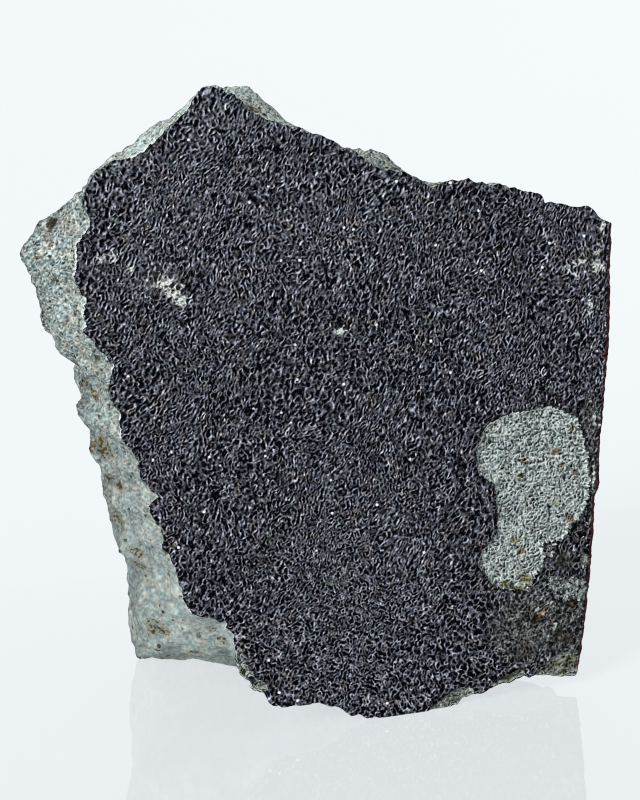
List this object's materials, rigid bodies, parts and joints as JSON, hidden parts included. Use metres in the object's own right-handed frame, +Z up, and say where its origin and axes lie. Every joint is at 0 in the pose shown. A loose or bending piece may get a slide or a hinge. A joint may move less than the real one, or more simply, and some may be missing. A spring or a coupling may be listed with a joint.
{
  "type": "chondrite meteorite",
  "caption": "Broken slab of chondrite standing on edge, with a wrinkled black fusion crust on its broad face and pale grey rock on its broken sides.",
  "frame": {"origin": "middle of the stone's bounding box on the surface it stands on", "axes": "+Z up, the long way of the slab; -Y the way the crusted face looks; +X to the right seen from the front"},
  "size_m": [0.0608, 0.0272, 0.0668],
  "materials": {
    "stone": "dull black fusion crust with a fine net of ridges on the front face, and rough pale grey broken rock with rusty specks on every other side"
  },
  "bodies": {
    "root": {"stone": "stone"}
  },
  "joints": []
}
